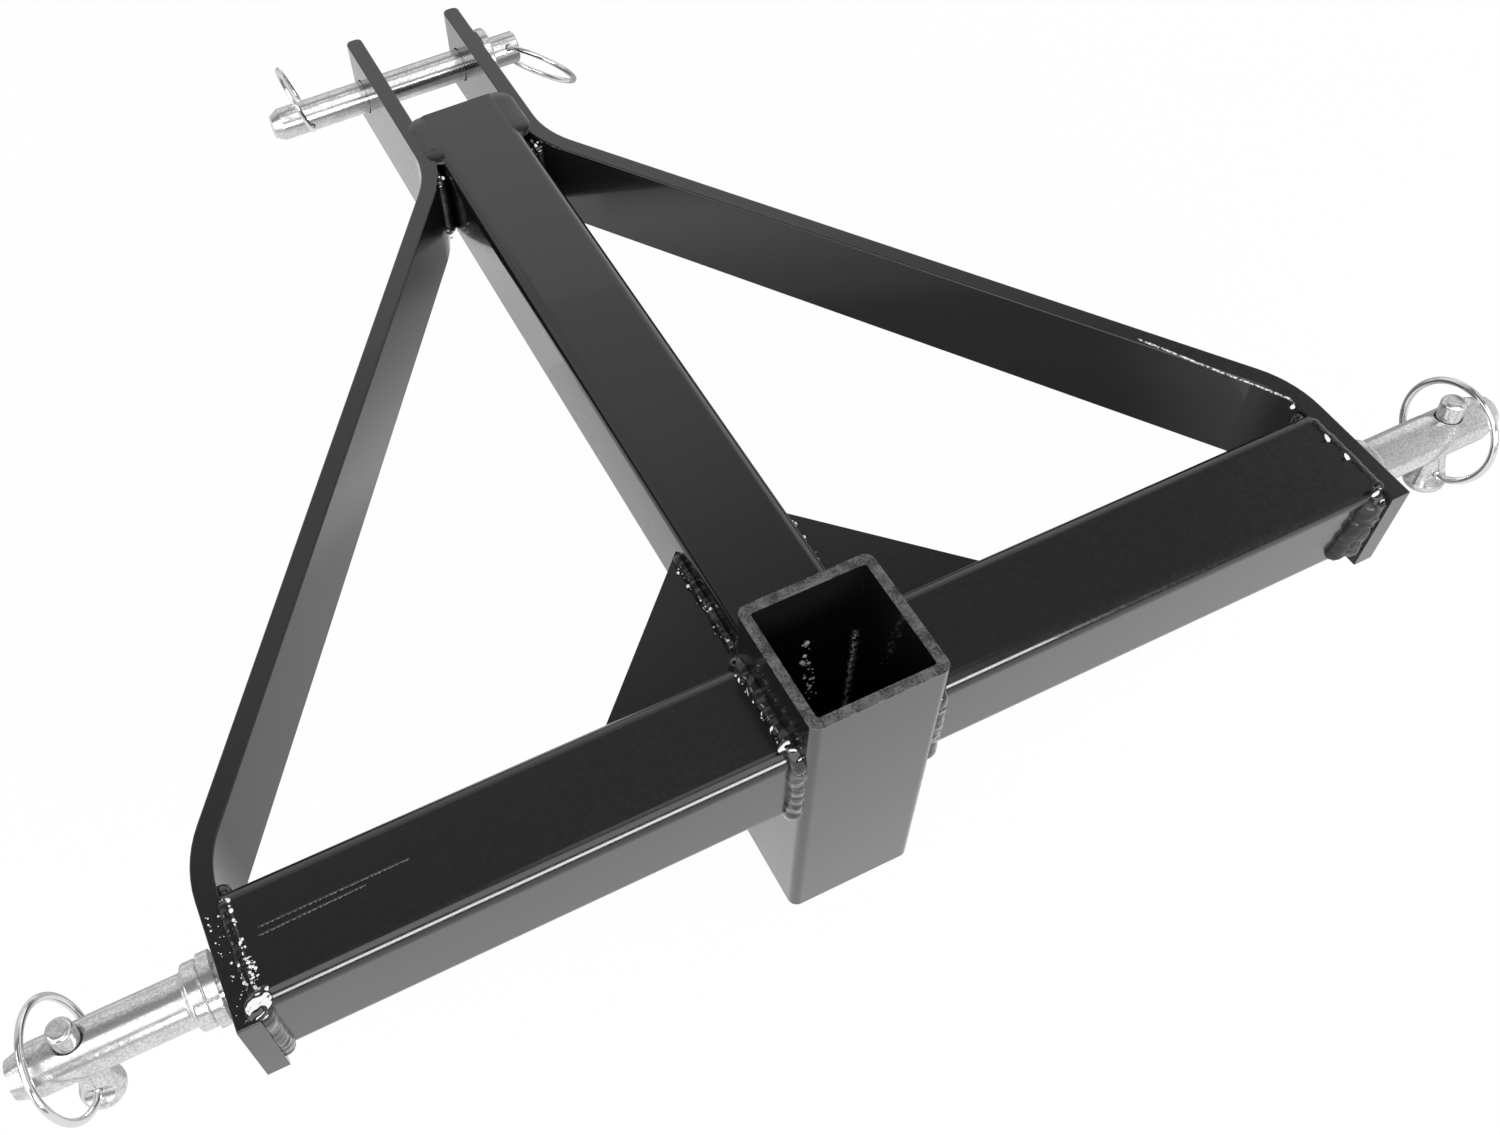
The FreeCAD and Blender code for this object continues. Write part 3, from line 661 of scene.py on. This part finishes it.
def seat(piece, *standsFor):
    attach(piece, "frame")
    if standsFor:
        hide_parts(*standsFor)


def onSide(side, path):
    # a path given for the right side, as it lies on this side
    return [(side * x, y, z) for x, y, z in path]


sides = {"left": -1, "right": 1}
bar = {"half": 0.0254, "corner": 0.0065, "middle": 0.1146, "end": 0.2615}
# the way a flat spot faces where it mirrors the front strip, at three places along the bar
facingStrip = {"left": (0.20, -0.706, 0.678), "middle": (-0.07, -0.735, 0.675),
               "right": (-0.227, -0.749, 0.621)}

# welds round the receiver
receiverHalf = 0.03175
ringLift = 0.0007
cornerSteps = 6
ringWeld = {"Bead Radius": 0.0043, "Ripple Pitch": 0.0052, "Ripple Depth": 0.008,
            "Lump Size": 0.006, "Lump Height": 0.0009}
ringSeeds = {"left": 3.0, "right": 8.0, "mast": 12.0}
alongRing = (0.1, 1.0, 0.0)
ringPools = [
    ((-0.0368, 0.0163, 0.1413), alongRing, (0.0016, 0.0009, 0.0010)),
    ((-0.0364, 0.0095, 0.1413), alongRing, (0.0026, 0.0006, 0.0010)),
    ((-0.0363, 0.0045, 0.1414), alongRing, (0.0011, 0.0010, 0.0010)),
    ((-0.0362, -0.0023, 0.1416), alongRing, (0.0014, 0.0008, 0.0010)),
    ((-0.0364, -0.0112, 0.1420), alongRing, (0.0024, 0.0013, 0.0012)),
    ((-0.0362, -0.0202, 0.1438), (1.0, 0.6, 0.0), (0.0036, 0.0020, 0.0030)),
    ((-0.0340, -0.0234, 0.1441), (1.0, -0.8, 0.0), (0.0024, 0.0012, 0.0030)),
    ((-0.0326, -0.0272, 0.1402), alongRing, (0.0018, 0.0014, 0.0020)),
]
ringToe = [(-0.0376, -0.024, 0.1401), (-0.0354, -0.024, 0.1410),
           (-0.0354, 0.024, 0.1410), (-0.0376, 0.024, 0.1401)]


def squareLoop(half, corner, lift):
    # a rounded square as pairs, one arc for each corner, counted round
    reach = half + lift
    turn = corner + lift
    flat = reach - turn
    loop = []
    for quarter in range(4):
        middle = math.radians(90 * quarter + 45)
        cx = math.copysign(flat, math.cos(middle))
        cy = math.copysign(flat, math.sin(middle))
        for step in range(cornerSteps + 1):
            angle = math.radians(90 * quarter + 90 // cornerSteps * step)
            loop.append((cx + turn * math.cos(angle), cy + turn * math.sin(angle)))
    return loop


def makeReceiverWelds():
    loop = squareLoop(bar["half"], bar["corner"], ringLift)
    out = receiverHalf + ringLift
    for name, side in sides.items():
        path = [(side * out, a, bar["middle"] + b) for a, b in loop]
        parts = [bead("ring", path, {**ringWeld, "Seed": ringSeeds[name]}, closed=True)]
        if name == "left":
            parts.append(pools(facingStrip["middle"], ringPools))
            parts.append(spatter(ringToe, 150000.0, (0.0002, 0.0009), 5, heightShare=0.6))
        seat(joinPieces("receiverWeld_" + name, parts), "weld_receiver_" + name)
    path = [(a, out, bar["middle"] + b) for a, b in loop]
    ring = bead("receiverWeld_mast", path, {**ringWeld, "Seed": ringSeeds["mast"]}, closed=True)
    seat(ring, "weld_receiver_mast")


# welds at the strap feet
footWeld = {"Bead Radius": 0.0046, "Ripple Pitch": 0.0056, "Ripple Depth": 0.05,
            "Lump Size": 0.007, "Lump Height": 0.0007}
footTopWeld = {"Bead Radius": 0.0032, "Ripple Pitch": 0.0050, "Ripple Depth": 0.05,
               "Lump Size": 0.006, "Lump Height": 0.0005}
footRough = {**footWeld, "Ripple Depth": 0.012, "Lump Size": 0.0045, "Lump Height": 0.0010,
             "Finish": dullWeldPaint}
# a thin pale run along the right strap's inner top edge: a painted highlight where the rounded edge
# would catch the light
footEdge = {**footWeld, "Bead Radius": 0.0005, "Ripple Depth": 0.0, "Lump Size": 0.006,
            "Lump Height": 0.00006, "Step": 0.0008, "Seed": 44.0, "Finish": paintedHighlightFinish}
footInset = 0.0008
footLift = 0.0002
footUpright = (0.0915, 0.1375)
footAcross = ((-0.0255, 0.1373), (0.0215, 0.1378))

wideRun = [(0.2560, -0.0242, 0.0945), (0.2568, -0.0242, 0.1340)]
runOut = [(0.2490, -0.0246, 0.0950), (0.2555, -0.0250, 0.1240)]
strapEdge = [(0.2240, 0.0985, 0.1386), (0.2383, 0.0738, 0.1386), (0.2444, 0.0633, 0.1386),
             (0.2531, 0.0493, 0.1386), (0.2612, 0.0351, 0.1386), (0.2606, 0.0300, 0.1386)]
alongFoot = (-0.28, 0.636, 0.66)
acrossFoot = (1.0, 0.4, 0.0)
rightPools = [
    ((0.2582, 0.0070, 0.1408), alongFoot, (0.0034, 0.0010, 0.0012)),
    ((0.2584, -0.0050, 0.1408), alongFoot, (0.0028, 0.0010, 0.0012)),
    ((0.2560, -0.0262, 0.1402), acrossFoot, (0.0026, 0.0016, 0.0024)),
    ((0.2590, 0.0305, 0.1392), acrossFoot, (0.0016, 0.0014, 0.0016)),
]

footCap = [(-0.2655, -0.0285, 0.1368), (-0.2585, -0.0235, 0.1380)]
leftPools = [
    ((-0.2600, -0.0252, 0.1402), (1.0, 0.25, 0.0), (0.0056, 0.0050, 0.0050)),
    ((-0.2640, -0.0290, 0.1376), (1.0, 0.1, 0.0), (0.0034, 0.0020, 0.0040)),
    ((-0.2566, -0.0215, 0.1412), (0.6, 1.0, 0.0), (0.0026, 0.0016, 0.0030)),
]
leftLumps = {"lumpHeight": 0.00014, "lumpScale": 620.0}
leftSpatter = [
    # corners of the patch, drops per square metre, smallest and largest drop, seed
    ([(-0.2640, -0.024, 0.1395), (-0.2565, -0.024, 0.1412),
      (-0.2565, -0.006, 0.1409), (-0.2625, -0.006, 0.1400)], 700000.0, (0.0002, 0.00085), 7),
    ([(-0.2620, -0.006, 0.1396), (-0.2580, -0.006, 0.1409),
      (-0.2580, 0.021, 0.1407), (-0.2620, 0.021, 0.1394)], 360000.0, (0.00025, 0.0010), 9),
    ([(-0.2700, -0.029, 0.1385), (-0.2640, -0.029, 0.1385),
      (-0.2640, 0.018, 0.1385), (-0.2700, 0.018, 0.1385)], 90000.0, (0.00018, 0.0006), 11),
]


def makeFootWelds():
    x = bar["end"] - footInset
    y = bar["half"] + footLift
    for name, side in sides.items():
        parts = []
        for face in (-1, 1):
            path = [(side * x, face * y, z) for z in footUpright]
            parts.append(bead("upright", path, {**footWeld, "Seed": 20.0 + side + 3 * face}))
        path = [(side * x, along, z) for along, z in footAcross]
        parts.append(bead("across", path, {**footTopWeld, "Seed": 30.0 + side}))
        if name == "right":
            parts.append(bead("wide", wideRun, {**footRough, "Bead Radius": 0.0060, "Seed": 41.0}))
            parts.append(bead("runOut", runOut, {**footRough, "Bead Radius": 0.0050, "Seed": 42.0}))
            parts.append(pools(facingStrip["right"], rightPools))
            parts.append(bead("edgeRun", strapEdge, footEdge))
        else:
            parts.append(bead("cap", footCap, {**footWeld, "Bead Radius": 0.0040,
                                               "Flatness": 0.7, "Seed": 43.0}))
            parts.append(pools(facingStrip["left"], leftPools, **leftLumps))
            for patch in leftSpatter:
                parts.append(spatter(*patch))
        seat(joinPieces("footWeld_" + name, parts), "weld_strap_" + name)


# welds between the mast and the clevis ears: path on the right side, values, first seed
clevisSeam = {"Bead Radius": 0.0105, "Flatness": 0.22, "Ripple Pitch": 0.006, "Ripple Depth": 0.0,
              "Lump Size": 0.008, "Lump Height": 0.00010, "Finish": blackPaint}
clevisUpright = {"Bead Radius": 0.0048, "Ripple Pitch": 0.0048, "Ripple Depth": 0.06,
                 "Lump Size": 0.006, "Lump Height": 0.0005}
clevisTip = {**clevisUpright, "Bead Radius": 0.0044}
clevisRuns = [
    ([(0.0225, 0.4290, 0.1375), (0.0225, 0.3960, 0.1375), (0.0250, 0.3850, 0.1373)],
     clevisSeam, 50.0),
    ([(0.0300, 0.3860, 0.0925), (0.0300, 0.3860, 0.1345)], clevisUpright, 53.0),
    ([(0.0300, 0.3800, 0.0925), (0.0300, 0.3800, 0.1330)], clevisUpright, 55.0),
    ([(0.0256, 0.4278, 0.0925), (0.0256, 0.4278, 0.1352)], clevisTip, 57.0),
]
clevisSpatter = [
    ([(0.0270, 0.3745, 0.0930), (0.0340, 0.3745, 0.0930),
      (0.0340, 0.3745, 0.1000), (0.0270, 0.3745, 0.1000)], 300000.0, (0.0002, 0.0009), 13),
    ([(0.0280, 0.3760, 0.1335), (0.0320, 0.3760, 0.1335),
      (0.0320, 0.3790, 0.1352), (0.0280, 0.3790, 0.1352)], 500000.0, (0.0003, 0.0011), 15),
]


def makeClevisWelds():
    for name, side in sides.items():
        parts = []
        for path, values, seed in clevisRuns:
            parts.append(bead("clevis", onSide(side, path), {**values, "Seed": seed + side}))
        for corners, density, sizes, seed in clevisSpatter:
            parts.append(spatter(onSide(side, corners), density, sizes, seed))
        seat(joinPieces("clevisWeld_" + name, parts), "weld_clevis_" + name)


# welds along both faces of the gussets
gussetWeld = {"Bead Radius": 0.0030, "Ripple Pitch": 0.0042, "Ripple Depth": 0.08,
              "Lump Size": 0.006, "Lump Height": 0.0005}
gussetLift = 0.0008
gussetSpan = (0.0380, 0.0950)
gussetFaces = [(0.1248, 60.0), (0.1172, 70.0)]
gussetPatch = [(0.0268, 0.042, 0.1272), (0.0305, 0.042, 0.1248),
               (0.0305, 0.092, 0.1248), (0.0268, 0.092, 0.1272)]


def makeGussetWelds():
    near = bar["half"] + gussetLift
    for name, side in sides.items():
        parts = []
        for z, seed in gussetFaces:
            onMast = [(side * near, reach, z) for reach in gussetSpan]
            onBar = [(side * reach, near, z) for reach in gussetSpan]
            parts.append(bead("mastRun", onMast, {**gussetWeld, "Seed": seed + side}))
            parts.append(bead("barRun", onBar, {**gussetWeld, "Seed": seed + 3 + side}))
        parts.append(spatter(onSide(side, gussetPatch), 150000.0, (0.0002, 0.0010), 17))
        seat(joinPieces("gussetWeld_" + name, parts), "weld_gusset_" + name)


# the tube's own seam, raised in places under the paint, and the burn-through in the receiver
seamRidge = {"Bead Radius": 0.00045, "Flatness": 0.8, "Ripple Pitch": 0.0021, "Ripple Depth": 0.5,
             "Lump Size": 0.0015, "Lump Height": 0.00010, "Step": 0.0004}
# the inner seam and the burn-through drops take the pale finish: painted highlights
innerSeam = {**seamRidge, "Bead Radius": 0.0009, "Ripple Pitch": 0.006, "Lump Height": 0.0003,
             "Step": 0.0008, "Seed": 90.0, "Finish": paintedHighlightFinish}
ridgeRuns = [
    [(-0.2515, 0.0039, 0.1400), (-0.1890, 0.0043, 0.1400)],
    [(-0.2525, 0.0006, 0.1400), (-0.2080, 0.0016, 0.1400)],
]
receiverInside = 0.0270
innerCorner = receiverInside - 0.0006
burnPatch = [(-0.002, receiverInside, 0.128), (0.003, receiverInside, 0.128),
             (0.010, receiverInside, 0.075), (0.005, receiverInside, 0.075)]


def makeSeamMarks():
    parts = []
    for count, run in enumerate(ridgeRuns):
        parts.append(bead("ridge", run, {**seamRidge, "Seed": 80.0 + count}))
    path = [(innerCorner, innerCorner, 0.1200), (innerCorner, innerCorner, 0.0450)]
    parts.append(bead("innerSeam", path, innerSeam))
    parts.append(spatter(burnPatch, 130000.0, (0.0004, 0.0016), 19))
    seat(joinPieces("tubeSeams", parts))


makeReceiverWelds()
makeFootWelds()
makeClevisWelds()
makeGussetWelds()
makeSeamMarks()
print("welds laid")
